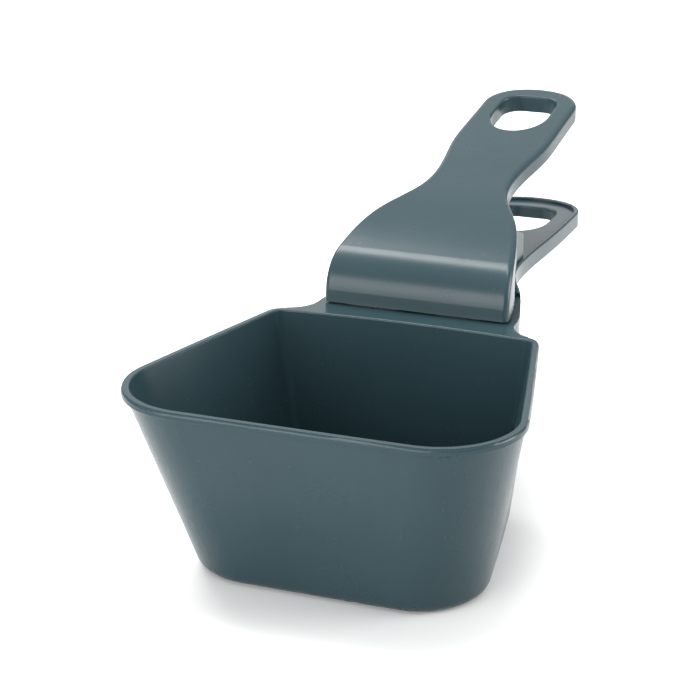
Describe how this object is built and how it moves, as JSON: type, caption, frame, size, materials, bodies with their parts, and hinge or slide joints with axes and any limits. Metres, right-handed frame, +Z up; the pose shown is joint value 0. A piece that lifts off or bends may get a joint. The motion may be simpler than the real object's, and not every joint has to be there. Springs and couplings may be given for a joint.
{
  "type": "feed scoop",
  "caption": "Moulded plastic feed scoop with a tapered open bowl and a spring-loaded bag clip whose two arms form the handle.",
  "frame": {"origin": "middle of the bowl's flat underside", "axes": "+X across the scoop, +Y from the bowl's front wall towards the handles, +Z up out of the open bowl"},
  "size_m": [0.1012, 0.2039, 0.0869],
  "materials": {
    "bowl_plastic": "satin moulded polypropylene, slate blue-grey",
    "lever_plastic": "satin moulded polypropylene, slate blue-grey",
    "pin_steel": "drawn steel",
    "spring_steel": "spring wire"
  },
  "bodies": {
    "scoop": {"scoop_body": "bowl_plastic", "hinge_pin": "pin_steel", "torsion_spring": "spring_steel"},
    "lever": {"clip_lever": "lever_plastic"}
  },
  "joints": [
    {"name": "clip_hinge", "type": "hinge", "parent": "scoop", "child": "lever", "pos_m": [0, 0.073, 0.0615], "axis": [-1, 0, 0], "range_deg": [0, 19.5], "stiffness_Nm_per_rad": 1.1, "springref_deg": -12.89, "deforming": ["torsion_spring"]}
  ]
}
